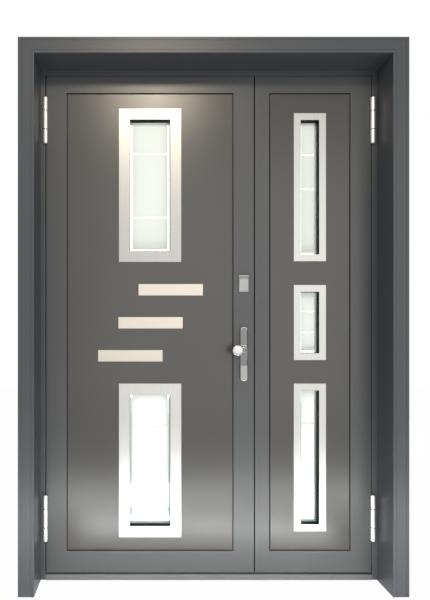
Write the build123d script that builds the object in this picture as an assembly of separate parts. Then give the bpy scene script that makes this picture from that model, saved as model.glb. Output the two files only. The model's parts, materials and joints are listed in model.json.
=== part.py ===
from build123d import *
import math
import os

# Unequal double-leaf entry door in its own frame, without the wall.
# Millimetres. X runs to the right seen from outside, Y runs into the building, Z is up.
# The floor is z = 0, the middle of the frame is x = 0, and both leaves are centred on y = 0.

# Frame: one folded profile goes round the two sides and the top
reveal_half = 728.0
soffit_z = 2206.0
casing_width = 66.0
reveal_depth = 135.0
jamb_strip = 20.0
stop_width = 18.0
stop_depth = 30.0
rear_flange = 50.0
casing_return = 15.0
frame_sheet = 2.5
bead_width = 12.0
bead_rise = 1.5
groove_width = 1.6
groove_depth = 1.0
outer_line_inset = 12.0
bend_radius = 2.0

# Threshold
threshold_height = 28.0
threshold_nose = 2.0
threshold_wall = 3.0
threshold_web = 17.0

# Leaves
leaf_thickness = 60.0
jamb_gap = 4.0
meeting_gap = 5.0
meeting_x = 195.0
leaf_bottom = 32.0
leaf_wall = 2.0
border_top = 75.0
border_bottom = 96.0
main_border_side = 90.0
narrow_border_meeting = 64.0
narrow_border_hinge = 92.5
groove_line = 5.0
ledge_width = 14.0
panel_thickness = 7.0
panel_skin = 1.5
panel_set_back = 1.0
panel_edge_round = 1.5
nib_depth = 14.0
main_channel_depth = 5.0
narrow_relief_depth = 4.0

# Windows: centre x, low z, high z and width, all of the stainless frame's outer edge
main_window_x = -254.5
main_window_width = 271.0
main_window_heights = {"upper": (1377.0, 2042.0), "lower": (185.0, 851.0)}
main_frame_face = 48.0
narrow_window_x = 437.6
narrow_window_width = 140.0
narrow_window_heights = {
    "upper": (1380.0, 2022.0),
    "middle": (952.0, 1278.0),
    "lower": (211.0, 851.0),
}
narrow_frame_face = 30.0
frame_plate = 3.0
frame_leg = 2.5
glass_depth = 28.0
unit_thickness = 24.0
outer_pane = 6.0
inner_pane = 4.0
spacer_width = 10.0
unit_bite = 9.0
seal_thickness = 2.0

# Stainless trim bars on the main panel
bar_length = 280.0
bar_height = 50.0
bar_thickness = 3.0
bar_centres = ((-165.0, 1257.0), (-252.5, 1114.0), (-340.0, 971.0))

# Hinges
hinge_height = 192.0
hinge_low_part = 56.0
hinge_middle_part = 80.0
hinge_centres = (271.0, 1988.0)
knuckle_radius = 9.0
pin_radius = 5.0
pin_clearance = 0.05
knuckle_gap = 0.5
hinge_proud = 9.7
hinge_plate = 2.5
hinge_plate_depth = 38.0
hinge_block = 10.0
pin_dome = 4.0
pin_edge = 2.5

# Lock furniture, on the middle of the main leaf's meeting border
lock_x = 150.0
spindle_z = 997.0
cylinder_z = 905.0
upper_key_z = 1284.0
escutcheon_width = 32.0
escutcheon_height = 238.0
escutcheon_centre_z = 979.0
escutcheon_thickness = 8.0
escutcheon_edge = 2.5
cover_edge = 0.9
knob_offset = 37.0
knob_diameter = 48.0
knob_proud = 70.0
knob_stem_radius = 8.0
upper_plate_width = 44.0
upper_plate_height = 74.0
upper_plate_thickness = 6.0
lever_reach = 125.0
lever_return = 30.0
lever_radius = 9.0
inside_plate_width = 40.0
inside_plate_height = 236.0
inside_plate_centre_z = 958.0
fit_clearance = 0.1

# Locks and bolts inside the meeting stiles
case_thickness = 18.0
case_depth = 86.0
faceplate_width = 24.0
faceplate_thickness = 3.0
main_face_heights = (855.0, 1080.0)
main_case_heights = (866.0, 1068.0)
upper_face_heights = (1222.0, 1346.0)
upper_case_heights = (1234.0, 1334.0)
bolt_radius = 8.0
bolt_throw = 26.0
main_bolt_heights = (935.0, 965.0)
upper_bolt_heights = (1260.0, 1308.0)
latch_z = 1040.0
latch_height = 26.0
latch_width = 12.0
latch_tip_x = 198.8
keeper_axis = (210.0, -10.0)
keeper_reach = 15.5
keeper_height = 36.0
keeper_arm = 5.0
keeper_barrel_radius = 4.0
flush_bolt_x = 232.0
flush_bolt_radius = 6.0
flush_bolt_length = 260.0
flush_bolt_throw = 15.0
keep_plate = 2.0

# Values worked out from the driving dimensions
front_y = -leaf_thickness / 2
rear_y = leaf_thickness / 2
casing_y = front_y - reveal_depth
rebate_half = reveal_half - jamb_strip
leaf_half = rebate_half - jamb_gap
leaf_top = soffit_z - jamb_strip - jamb_gap
stop_y = rear_y + 4.0
narrow_meeting_x = meeting_x + meeting_gap
hinge_y = front_y - hinge_proud
hinge_x = rebate_half - jamb_gap / 2
panel_y = front_y + panel_set_back
ledge_y = panel_y + panel_thickness
glass_y = panel_y - frame_plate + glass_depth
edge_x = meeting_x - main_channel_depth
strike_x = narrow_meeting_x + narrow_relief_depth

# Frame details
fixing_radius = 5.0
fixing_heights = (450.0, 850.0, 1450.0, 1850.0)
threshold_edge = 4.0
gasket_edge = 1.4
anchor_heights = (350.0, 1100.0, 1750.0)
anchor_front_y = -60.0
anchor_hole_inset = 12.0
keep_half_length = 20.0
keep_half_width = 11.0
keep_corner = 4.0
pin_head_inset = 0.6

# Leaf details
sheet_edge = 0.8
panel_cutout_gap = 1.5
core_cutout_gap = 2.0
meeting_seal_bulb = 3.2
meeting_seal_edge = 2.4
meeting_seal_y = (rear_y - 9.0, rear_y - 2.0)
spindle_hole_radius = 11.0
upper_key_hole_radius = 7.0
strike_pocket_depth = 10.0

# Lock details
latch_rear_x = 150.0
latch_nose = 3.0
bolt_rear_x = 110.0
bolt_edge = 1.2
carriage = 8.0
carriage_depth = 6.0
hub_radius = 10.0
hub_half = 7.0
spindle_half = 4.0
turn_shaft = 4.0
turn_collar_radius = 11.0
turn_collar = 5.0
turn_wing = (8.0, 34.0)
turn_wing_depth = 18.0
cylinder_radius = 8.5
cylinder_tail = 10.0
cylinder_depth = 33.0
keyway_half = 1.2
keyway_reach = 4.5
keyway_depth = 6.0
upper_keyhole_radius = 5.0
upper_keyhole_depth = 6.5
upper_slot_half = 1.5
upper_slot_length = 11.0
rose_radius = 22.0

# Covers, flap and knob
key_cover_pivot_z = 923.0
key_cover_heights = (861.0, 930.0)
key_cover_thickness = 3.0
rivet_radius = 3.0
flap_axis = (-39.3, 1309.0)
flap_barrel = 2.7
flap_knuckle = 12.0
flap_heights = (1250.0, 1304.0)
flap_thickness = 2.6
flap_pin_radius = 1.5
flap_notch_radius = 5.0
plate_corner = 3.0
hood_rise = 3.4
small_edge = 1.5
knob_stem_start = 13.0
knob_stem_bend = 26.0
knob_stem_end = 34.0
knob_foot = 4.0
knob_seat = 32.0

# Strike and flush bolt details
keeper_pin_radius = 2.0
keeper_pin_end = 6.0
keeper_edge = 1.5
strike_case_width = 28.0
strike_case_end = 8.0
strike_case_room = 10.0
strike_hole_gap = 0.6
flush_face_ends = (120.0, 280.0)
flush_slide_end = 215.0
flush_guide = (4.0, 20.0)
flush_guide_half = 10.0
thumb_half_height = 12.0
thumb_half_width = 4.0
thumb_grooves = (-8.0, -4.0, 0.0, 4.0, 8.0)
thumb_groove_half = 0.8

# A cut reaches this far past the face that it opens
past = 1.0

nodes = {}


def block(x, y, z):
    """A box given by its low and high value along each axis."""
    size = (x[1] - x[0], y[1] - y[0], z[1] - z[0])
    centre = ((x[0] + x[1]) / 2, (y[0] + y[1]) / 2, (z[0] + z[1]) / 2)
    return Pos(*centre) * Box(*size)


def rod(radius, start, end):
    """A round bar between two points that lie along one axis."""
    start, end = Vector(*start), Vector(*end)
    along = end - start
    disc = Plane(origin=start, z_dir=along) * Circle(radius)
    return extrude(disc, amount=along.length)


def mitred_bar(radius, points):
    """Round bar through the points, cut and joined on the half angle at each corner."""
    direction = tuple(b - a for a, b in zip(points[0], points[1]))
    section = Plane(origin=points[0], z_dir=direction) * Circle(radius)
    return one(sweep(section, path=Polyline(*points), transition=Transition.RIGHT))


def one(shape):
    """The single solid of a shape, or its solids as a compound if it has several."""
    solids = shape.solids()
    return solids[0] if len(solids) == 1 else Compound(children=list(solids))


def group(solids):
    """Like pieces that share one node, as separate solids."""
    return Compound(children=[s for part in solids for s in part.solids()])


def mirrored(shape):
    """The same piece on the other side of the door's middle."""
    return mirror(shape, about=Plane.YZ)


def sheet_points(path, thickness):
    """The outline of a sheet folded along a path of square bends, with the sheet on the path's right."""
    inner = []
    for i, point in enumerate(path):
        shift = [0.0, 0.0]
        for a, b in ((i - 1, i), (i, i + 1)):
            if a < 0 or b >= len(path):
                continue
            run = (path[b][0] - path[a][0], path[b][1] - path[a][1])
            length = math.hypot(*run)
            normal = (run[1] / length, -run[0] / length)
            for k in (0, 1):
                if abs(normal[k]) > 0.5:
                    shift[k] = normal[k] * thickness
        inner.append((point[0] + shift[0], point[1] + shift[1]))
    return list(path) + inner[::-1]


# The frame profile: u runs from the reveal towards the wall, y into the building
def frame_section():
    path = [
        (casing_width, casing_y + casing_return),
        (casing_width, casing_y),
        (bead_width, casing_y),
        (bead_width, casing_y - bead_rise),
        (0.0, casing_y - bead_rise),
        (0.0, front_y),
        (-jamb_strip, front_y),
        (-jamb_strip, stop_y),
        (-jamb_strip - stop_width, stop_y),
        (-jamb_strip - stop_width, stop_y + stop_depth),
        (rear_flange, stop_y + stop_depth),
        (rear_flange, stop_y + stop_depth - casing_return),
    ]
    face = make_face(Polyline(*sheet_points(path, frame_sheet), close=True))
    bends = [path[i] for i in (1, 4, 6, 8, 9, 10)]
    corners = [v for v in face.vertices() if any(math.dist((v.X, v.Y), b) < 0.01 for b in bends)]
    face = fillet(corners, bend_radius)
    for line in (casing_width - outer_line_inset, bead_width + groove_width):
        middle = (line - groove_width / 2, casing_y + groove_depth / 2)
        face -= Pos(*middle) * Rectangle(groove_width, groove_depth)
    return face


def mitre_wedge():
    """What lies above the left-hand mitre line, which joins the casing's outer and inner corners."""
    far = 1000.0
    corner = (-reveal_half, soffit_z)
    outline = [
        (corner[0] - far, corner[1] + far),
        (corner[0] + far, corner[1] - far),
        (corner[0] + far, corner[1] + far),
    ]
    face = make_face(Plane.XZ * Polyline(*outline, close=True))
    return extrude(face, amount=far, both=True)


def fixing_holes():
    """Frame fixing screws go through the rebate, behind the closed leaf's edge."""
    holes = []
    for z in fixing_heights:
        start = (-rebate_half - frame_sheet - 1.0, 0.0, z)
        holes.append(rod(fixing_radius, start, (-rebate_half + 1.0, 0.0, z)))
    return holes


def hinge_seat(side_x, inward):
    """The shallow recesses that take the hinge plates, on one edge; inward is +1 or -1."""
    seats = []
    for centre in hinge_centres:
        z = (centre - hinge_height / 2, centre + hinge_height / 2)
        x = sorted((side_x, side_x + inward * hinge_plate))
        seats.append(block(x, (front_y - 1.0, front_y + hinge_plate_depth), z))
    return seats


def left_jamb():
    plane = Plane(origin=(-reveal_half, 0, soffit_z + casing_width), x_dir=(-1, 0, 0), z_dir=(0, 0, -1))
    jamb = extrude(plane * frame_section(), amount=soffit_z + casing_width)
    jamb -= mitre_wedge()
    for centre in hinge_centres:
        z = (centre - hinge_height / 2 - hinge_block, centre + hinge_height / 2 + hinge_block)
        x = (-rebate_half - hinge_block, -rebate_half - frame_sheet)
        jamb += block(x, (front_y + frame_sheet, front_y + hinge_plate_depth + hinge_block), z)
    for cut in hinge_seat(-rebate_half, -1) + fixing_holes():
        jamb -= cut
    return one(jamb)


def head():
    plane = Plane(origin=(reveal_half + casing_width, 0, soffit_z), x_dir=(0, 0, 1), z_dir=(-1, 0, 0))
    bar = extrude(plane * frame_section(), amount=2 * (reveal_half + casing_width))
    lower = mitre_wedge()
    room = block((-reveal_half - casing_width, 0.0), (casing_y - 10.0, 200.0), (0.0, 2 * soffit_z))
    left_part = (bar & room) & lower
    bar = left_part + mirrored(left_part)
    z = (soffit_z - jamb_strip - 1.0, soffit_z - jamb_strip + frame_sheet + 1.0)
    bar -= rod(flush_bolt_radius + 1.0, (flush_bolt_x, 0, z[0]), (flush_bolt_x, 0, z[1]))
    return one(bar)


def threshold():
    """An extruded sill: nose, flat top under the leaves, upstand behind them, three open chambers."""
    top, stop_top = threshold_height, threshold_height + stop_width
    back = stop_y + stop_depth
    outline = [
        (front_y - threshold_nose, 0.0),
        (back, 0.0),
        (back, stop_top),
        (stop_y, stop_top),
        (stop_y, top),
        (front_y + threshold_edge, top),
        (front_y - threshold_nose, top - threshold_edge),
    ]
    plane = Plane(origin=(-rebate_half, 0, 0), x_dir=(0, 1, 0), z_dir=(1, 0, 0))
    section = make_face(Polyline(*outline, close=True))
    wall = threshold_wall
    middle = front_y + threshold_web
    chambers = [
        (front_y + wall, middle - wall / 2, top - wall - threshold_edge / 2),
        (middle + wall / 2, stop_y - wall / 2, top - wall),
        (stop_y + wall, back - wall, stop_top - wall),
    ]
    for low, high, ceiling in chambers:
        centre = ((low + high) / 2, (wall + ceiling) / 2)
        section -= Pos(*centre) * Rectangle(high - low, ceiling - wall)
    sill = extrude(plane * section, amount=2 * rebate_half)
    for side in (-1, 1):
        x = sorted((side * (rebate_half - stop_width), side * (rebate_half + 1.0)))
        sill -= block(x, (stop_y, back + 1.0), (-1.0, stop_top + 1.0))
    z = (top - 2 * wall, top + 1.0)
    sill -= rod(flush_bolt_radius + 1.0, (flush_bolt_x, 0, z[0]), (flush_bolt_x, 0, z[1]))
    return one(sill)


def frame_gasket():
    """A bulb seal round the stops, just clear of the closed leaves' backs."""
    width, bulb, inset = 10.0, 3.4, 3.0
    half = rebate_half - inset
    y = (stop_y - bulb, stop_y)
    low, high = threshold_height + inset, soffit_z - jamb_strip - inset
    ring = block((-half, half), y, (low, high))
    ring -= block((-half + width, half - width), y, (low + width, high - width))
    return one(fillet(ring.edges().filter_by(Plane.XZ).group_by(Axis.Y)[0], gasket_edge))


def wall_anchors():
    """Bent straps welded to the back of the reveal, which the wall fixings or the mortar hold."""
    straps = []
    width, thick, leg, reach = 30.0, 3.0, 40.0, 46.0
    for z in anchor_heights:
        base = -reveal_half - frame_sheet
        rear = anchor_front_y + leg
        foot = block((base - thick, base), (anchor_front_y, rear), (z, z + width))
        arm = block((base - reach, base), (rear - thick, rear), (z, z + width))
        hole_x = base - reach + anchor_hole_inset
        middle = z + width / 2
        hole = rod(fixing_radius, (hole_x, rear - thick - past, middle), (hole_x, rear + past, middle))
        straps.append(foot + arm - hole)
    return group(straps + [mirrored(s) for s in straps])


def bolt_keeps():
    """Small plates on the head and the threshold with the holes that the flush bolts enter."""
    top = soffit_z - jamb_strip
    plates = []
    for z in ((top - keep_plate, top), (threshold_height, threshold_height + keep_plate)):
        x = (flush_bolt_x - keep_half_length, flush_bolt_x + keep_half_length)
        plate = block(x, (-keep_half_width, keep_half_width), z)
        plate = fillet(plate.edges().filter_by(Axis.Z), keep_corner)
        plates.append(plate - rod(flush_bolt_radius + 0.5, (flush_bolt_x, 0, z[0]), (flush_bolt_x, 0, z[1])))
    return group(plates)


# Hinges: on the left-hand gap, mirrored for the right-hand one
def knuckle(z):
    return rod(knuckle_radius, (-hinge_x, hinge_y, z[0]), (-hinge_x, hinge_y, z[1]))


def hinge_levels(centre):
    """The three knuckles' low and high ends, from the bottom up."""
    low = centre - hinge_height / 2
    a = low + hinge_low_part
    b = a + hinge_middle_part
    return (low, a), (a + knuckle_gap, b - knuckle_gap), (b, low + hinge_height)


def hinge_bore(centre):
    z = (centre - hinge_height / 2 - 1.0, centre + hinge_height / 2 + 1.0)
    return rod(pin_radius + pin_clearance, (-hinge_x, hinge_y, z[0]), (-hinge_x, hinge_y, z[1]))


def hinge_half(centre, inward, levels):
    """One hinge leaf: a plate let into the edge, and the knuckles that it is rolled into."""
    edge = -hinge_x + inward * jamb_gap / 2
    x = sorted((edge, edge + inward * hinge_plate))
    z = (centre - hinge_height / 2, centre + hinge_height / 2)
    half = block(x, (front_y, front_y + hinge_plate_depth), z)
    for level in levels:
        half += block(x, (hinge_y, front_y), level) + knuckle(level)
    return one(half - hinge_bore(centre))


def hinge_frame_leaves():
    return [hinge_half(c, -1, (hinge_levels(c)[0], hinge_levels(c)[2])) for c in hinge_centres]


def hinge_leaf_leaves():
    return [hinge_half(c, 1, (hinge_levels(c)[1],)) for c in hinge_centres]


def hinge_pins():
    """Each pin has a domed head on top, and a domed plug closes the bottom knuckle."""
    pins = []
    for centre in hinge_centres:
        low, high = centre - hinge_height / 2, centre + hinge_height / 2
        shaft = rod(pin_radius, (-hinge_x, hinge_y, low), (-hinge_x, hinge_y, high))
        radius = knuckle_radius - pin_head_inset
        dome = rod(radius, (-hinge_x, hinge_y, high), (-hinge_x, hinge_y, high + pin_dome))
        dome = chamfer(dome.edges().group_by(Axis.Z)[-1], pin_edge)
        plug = rod(radius, (-hinge_x, hinge_y, low - pin_dome), (-hinge_x, hinge_y, low))
        plug = chamfer(plug.edges().group_by(Axis.Z)[0], pin_edge)
        pins += [shaft + dome, plug]
    return group(pins + [mirrored(p) for p in pins])


# Leaves
def leaf_blank(x, panel_x):
    """The welded tube frame of a leaf: hollow bars round an opening, with a ledge for the panels."""
    panel_z = (leaf_bottom + border_bottom, leaf_top - border_top)
    half = groove_line / 2
    opening = block(
        (panel_x[0] - half, panel_x[1] + half),
        (front_y, rear_y),
        (panel_z[0] - half, panel_z[1] + half),
    )
    inner_x = (panel_x[0] - half + ledge_width, panel_x[1] + half - ledge_width)
    inner_z = (panel_z[0] - half + ledge_width, panel_z[1] + half - ledge_width)
    through = block(inner_x, (front_y, rear_y), inner_z)
    solid = block(x, (front_y, rear_y), (leaf_bottom, leaf_top))
    recesses = opening & block(x, (front_y, ledge_y), (leaf_bottom, leaf_top))
    recesses += opening & block(x, (-ledge_y, rear_y), (leaf_bottom, leaf_top))
    wall = leaf_wall
    tube_x, tube_z = (x[0] + wall, x[1] - wall), (leaf_bottom + wall, leaf_top - wall)
    middle_y = (ledge_y + wall, -ledge_y - wall)
    middle = block(tube_x, middle_y, tube_z)
    middle -= block((inner_x[0] - wall, inner_x[1] + wall), middle_y, (inner_z[0] - wall, inner_z[1] + wall))
    full_y = (front_y + wall, rear_y - wall)
    full = block(tube_x, full_y, tube_z)
    full -= block(
        (panel_x[0] - half - wall, panel_x[1] + half + wall),
        full_y,
        (panel_z[0] - half - wall, panel_z[1] + half + wall),
    )
    return solid - recesses - through, middle + full


def hinge_blocks(side_x, inward):
    """Solid backing inside the stile, where the hinge screws go."""
    blocks = []
    for centre in hinge_centres:
        x = sorted((side_x, side_x + inward * hinge_block))
        z = (centre - hinge_height / 2 - hinge_block, centre + hinge_height / 2 + hinge_block)
        blocks.append(block(x, (front_y, rear_y), z))
    return blocks


def main_leaf_frame():
    x = (-leaf_half, meeting_x)
    panel_x = (-leaf_half + main_border_side, meeting_x - main_border_side)
    solid, tube = leaf_blank(x, panel_x)
    tube -= block((edge_x - leaf_wall, meeting_x), (front_y, rear_y), (leaf_bottom, leaf_top))
    for backing in hinge_blocks(-leaf_half, 1):
        tube -= backing
    leaf = solid - tube
    channel_y = (front_y + nib_depth, rear_y - nib_depth)
    leaf -= block((edge_x, meeting_x), channel_y, (leaf_bottom, leaf_top))
    for seat in hinge_seat(-leaf_half, 1):
        leaf -= seat
    for z in (main_face_heights, upper_face_heights):
        half = faceplate_width / 2
        leaf -= block((edge_x - faceplate_thickness, edge_x), (-half, half), z)
    through = (front_y - 1.0, rear_y + 1.0)
    leaf -= cylinder_profile(through, 1.0)
    leaf -= rod(spindle_hole_radius, (lock_x, 0, spindle_z), (lock_x, through[1], spindle_z))
    leaf -= rod(upper_key_hole_radius, (lock_x, through[0], upper_key_z), (lock_x, through[1], upper_key_z))
    return one(leaf)


def narrow_leaf_frame():
    x = (narrow_meeting_x, leaf_half)
    panel_x = (narrow_meeting_x + narrow_border_meeting, leaf_half - narrow_border_hinge)
    solid, tube = leaf_blank(x, panel_x)
    tube -= block((narrow_meeting_x, strike_x + leaf_wall), (front_y, rear_y), (leaf_bottom, leaf_top))
    for backing in hinge_blocks(leaf_half, -1):
        tube -= backing
    leaf = solid - tube
    leaf -= block((narrow_meeting_x, strike_x), (front_y + nib_depth, rear_y), (leaf_bottom, leaf_top))
    for seat in hinge_seat(leaf_half, -1):
        leaf -= seat
    half = faceplate_width / 2
    for z in (main_face_heights, upper_face_heights) + flush_face_heights():
        leaf -= block((strike_x, strike_x + faceplate_thickness), (-half, half), z)
    pocket_z = (latch_z - keeper_height / 2 - 2.0, latch_z + keeper_height / 2 + 2.0)
    leaf -= block((narrow_meeting_x, strike_x + strike_pocket_depth), (front_y + 3.0, 0.0), pocket_z)
    end = (flush_bolt_x, 0.0)
    leaf -= rod(flush_bolt_radius + 0.3, (*end, leaf_top - 2 * leaf_wall), (*end, leaf_top + 1.0))
    leaf -= rod(flush_bolt_radius + 0.3, (*end, leaf_bottom - 1.0), (*end, leaf_bottom + 2 * leaf_wall))
    return one(leaf)


def panel(panel_x, windows, rear=False):
    """A sheet-metal tray: a face with folded edges, and a cut-out behind each glazing frame."""
    half = groove_line / 2
    x = (panel_x[0] + half, panel_x[1] - half)
    z = (leaf_bottom + border_bottom + half, leaf_top - border_top - half)
    tray = block(x, (panel_y, ledge_y), z)
    tray = fillet(tray.edges().group_by(Axis.Y)[0], panel_edge_round)
    skin = panel_skin
    tray -= block((x[0] + skin, x[1] - skin), (panel_y + skin, ledge_y), (z[0] + skin, z[1] - skin))
    for opening in windows:
        tray -= window_block(opening, frame_leg + panel_cutout_gap, (panel_y, ledge_y))
    return one(mirror(tray, about=Plane.XZ) if rear else tray)


def core(panel_x, windows):
    """The honeycomb slab between the two trays, cut out for the glass units."""
    slab = None
    skin = panel_skin
    for inset, y in (
        (ledge_width - groove_line / 2, (ledge_y, -ledge_y)),
        (groove_line / 2 + skin, (panel_y + skin, ledge_y)),
        (groove_line / 2 + skin, (-ledge_y, -panel_y - skin)),
    ):
        x = (panel_x[0] + inset, panel_x[1] - inset)
        z = (leaf_bottom + border_bottom + inset, leaf_top - border_top - inset)
        layer = block(x, y, z)
        slab = layer if slab is None else slab + layer
    for opening in windows:
        slab -= window_block(opening, unit_bite + core_cutout_gap, (panel_y, -panel_y))
    return one(slab)


def window_opening(centre, width, heights, face):
    """The clear opening inside a stainless frame: low and high x, low and high z."""
    half = width / 2 - face
    return (centre - half, centre + half), (heights[0] + face, heights[1] - face)


def window_block(opening, grow, y):
    (x0, x1), (z0, z1) = opening
    return block((x0 - grow, x1 + grow), y, (z0 - grow, z1 + grow))


def glazing_frame(opening, face, rear=False):
    """A flat stainless frame, with a leg that goes back round the opening to the glass."""
    out = panel_y - frame_plate
    end = glass_y - seal_thickness
    if rear:
        back = glass_y + unit_thickness + seal_thickness
        flat, leg = (-panel_y, -out), (back, -out)
    else:
        flat, leg = (out, panel_y), (out, end)
    plate = window_block(opening, face, flat)
    plate = chamfer(plate.edges().group_by(Axis.Y)[-1 if rear else 0], sheet_edge)
    plate += window_block(opening, frame_leg, leg)
    return one(plate - window_block(opening, 0.0, leg))


def glass_unit(opening):
    """Two panes with a spacer between them, as three separate solids; here the panes."""
    outer = window_block(opening, unit_bite, (glass_y, glass_y + outer_pane))
    back = glass_y + unit_thickness
    inner = window_block(opening, unit_bite, (back - inner_pane, back))
    return group([outer, inner])


def spacer(opening):
    y = (glass_y + outer_pane, glass_y + unit_thickness - inner_pane)
    return window_block(opening, unit_bite, y) - window_block(opening, unit_bite - spacer_width, y)


def glazing_seal(opening):
    seals = []
    back = glass_y + unit_thickness
    for y in ((glass_y - seal_thickness, glass_y), (back, back + seal_thickness)):
        seals.append(window_block(opening, frame_leg, y) - window_block(opening, 0.0, y))
    return seals


def trim_bar(centre):
    x = (centre[0] - bar_length / 2, centre[0] + bar_length / 2)
    z = (centre[1] - bar_height / 2, centre[1] + bar_height / 2)
    bar = block(x, (panel_y - bar_thickness, panel_y), z)
    return one(chamfer(bar.edges().group_by(Axis.Y)[0], sheet_edge))


def meeting_seal():
    """A bulb strip along the rear nib of the main leaf."""
    z = (leaf_bottom + 2.0, leaf_top - 2.0)
    strip = block((meeting_x, meeting_x + meeting_seal_bulb), meeting_seal_y, z)
    return one(fillet(strip.edges().filter_by(Axis.Z).group_by(Axis.X)[-1], meeting_seal_edge))


# Locks and bolts
def upright_stadium(centre_x, centre_z, width, height):
    """A face with round ends, standing upright in the plane of the leaf."""
    plane = Plane(origin=(centre_x, 0, centre_z), x_dir=(0, 0, 1), z_dir=(0, 1, 0))
    return plane * SlotOverall(height, width)


def plate_solid(face, y):
    """An upright face given a thickness from the low to the high y."""
    return Pos(0, y[0], 0) * extrude(face, amount=y[1] - y[0])


def cylinder_profile(y, grow):
    """The keyhole-shaped bar of a profile cylinder, or a clearance cut that is larger by grow."""
    round_radius, tail_width = cylinder_radius + grow, cylinder_tail + 2 * grow
    low = cylinder_z + cylinder_radius - cylinder_depth - grow
    bar = rod(round_radius, (lock_x, y[0], cylinder_z), (lock_x, y[1], cylinder_z))
    tail = block((lock_x - tail_width / 2, lock_x + tail_width / 2), y, (low + tail_width / 2, cylinder_z))
    foot = rod(tail_width / 2, (lock_x, y[0], low + tail_width / 2), (lock_x, y[1], low + tail_width / 2))
    return bar + tail + foot


def lock_faceplate(z, bolt_heights, latch=False):
    half = faceplate_width / 2
    plate = block((edge_x - faceplate_thickness, edge_x), (-half, half), z)
    for height in bolt_heights:
        plate -= rod(bolt_radius + fit_clearance, (edge_x - 10.0, 0, height), (edge_x + past, 0, height))
    if latch:
        plate -= latch_channel()
    return plate


def latch_channel():
    grow = fit_clearance
    x = (latch_rear_x - 12.0, edge_x + 1.0)
    z = (latch_z - latch_height / 2 - grow, latch_z + latch_height / 2 + grow)
    return block(x, (-latch_width / 2 - grow, latch_width / 2 + grow), z)


def bolt_channels(heights):
    """Round bores for the bolts and the slot in which their carriage travels."""
    cuts = []
    for height in heights:
        start = (bolt_rear_x - 1.0, 0, height)
        cuts.append(rod(bolt_radius + fit_clearance, start, (edge_x + 1.0, 0, height)))
    x = (bolt_rear_x - 1.0, bolt_rear_x + carriage + bolt_throw + 1.0)
    cuts.append(block(x, (-carriage_depth - fit_clearance, fit_clearance), heights))
    return cuts


def deadbolts(heights):
    """Two round bolts on one carriage, flush with the faceplate when drawn in."""
    bolts = block((bolt_rear_x, bolt_rear_x + carriage), (-carriage_depth, 0.0), heights)
    for height in heights:
        bolt = rod(bolt_radius, (bolt_rear_x, 0, height), (edge_x - 0.5, 0, height))
        bolts += chamfer(bolt.edges().group_by(Axis.X)[-1], bolt_edge)
    return one(bolts)


def main_lock_case():
    half = case_thickness / 2
    right = edge_x - faceplate_thickness
    case = block((right - case_depth, right), (-half, half), main_case_heights)
    for cut in bolt_channels(main_bolt_heights) + [latch_channel(), cylinder_profile((-half, half), 0.1)]:
        case -= cut
    case -= rod(hub_radius + 0.2, (lock_x, -hub_half - 0.2, spindle_z), (lock_x, half + 1.0, spindle_z))
    return one(case)


def upper_lock_case():
    half = case_thickness / 2
    right = edge_x - faceplate_thickness
    case = block((right - case_depth, right), (-half, half), upper_case_heights)
    for cut in bolt_channels(upper_bolt_heights):
        case -= cut
    case -= rod(turn_shaft + fit_clearance, (lock_x, 3.0, upper_key_z), (lock_x, half + 1.0, upper_key_z))
    start, end = (lock_x, -half - past, upper_key_z), (lock_x, -upper_keyhole_depth, upper_key_z)
    case -= rod(upper_keyhole_radius, start, end)
    return one(case)


def latch_bolt():
    """A slim bolt whose nose is bevelled on the side that meets the strike when the leaf closes."""
    half = latch_width / 2
    outline = [
        (latch_rear_x, -half),
        (latch_tip_x, -half),
        (latch_tip_x, -half + latch_nose),
        (edge_x + 1.0, half),
        (latch_rear_x, half),
    ]
    face = make_face(Polyline(*outline, close=True))
    return one(Pos(0, 0, latch_z - latch_height / 2) * extrude(face, amount=latch_height))


def key_cylinder():
    y = (front_y - escutcheon_thickness + 0.5, rear_y + escutcheon_thickness)
    body = cylinder_profile(y, 0.0)
    keyway_z = (cylinder_z - keyway_reach, cylinder_z + keyway_reach)
    body -= block((lock_x - keyway_half, lock_x + keyway_half), (y[0], y[0] + keyway_depth), keyway_z)
    start, end = (lock_x, y[1] - 12.0, cylinder_z), (lock_x, y[1] + past, cylinder_z)
    body -= rod(turn_shaft + fit_clearance, start, end)
    return one(body)


def outside_escutcheon():
    face = upright_stadium(lock_x, escutcheon_centre_z, escutcheon_width, escutcheon_height)
    plate = plate_solid(face, (front_y - escutcheon_thickness, front_y))
    plate = chamfer(plate.edges().group_by(Axis.Y)[0], escutcheon_edge)
    plate -= cylinder_profile((front_y - escutcheon_thickness - 1.0, front_y + 1.0), 0.1)
    pivot = (lock_x, front_y - escutcheon_thickness - 1.0, key_cover_pivot_z)
    plate -= rod(rivet_radius + fit_clearance / 2, pivot, (lock_x, front_y - 2.0, key_cover_pivot_z))
    return one(plate)


def key_cover():
    """A weather cover over the keyhole, which swings aside on a rivet at its upper end."""
    back = front_y - escutcheon_thickness - 0.2
    low, high = key_cover_heights
    half = escutcheon_width / 2 - 1.0
    lower = Plane(origin=(lock_x, 0, low + half), x_dir=(1, 0, 0), z_dir=(0, -1, 0)) * Circle(half)
    upper = Pos(lock_x, 0, (low + half + high) / 2) * (Plane.XZ * Rectangle(2 * half, high - low - half))
    cover = extrude(lower, amount=key_cover_thickness) + extrude(upper, amount=key_cover_thickness)
    cover = Pos(0, back, 0) * cover
    cover = chamfer(cover.edges().group_by(Axis.Y)[0], cover_edge)
    rivet = rod(rivet_radius, (lock_x, back, key_cover_pivot_z), (lock_x, front_y - 3.0, key_cover_pivot_z))
    return one(cover + rivet)


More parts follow.
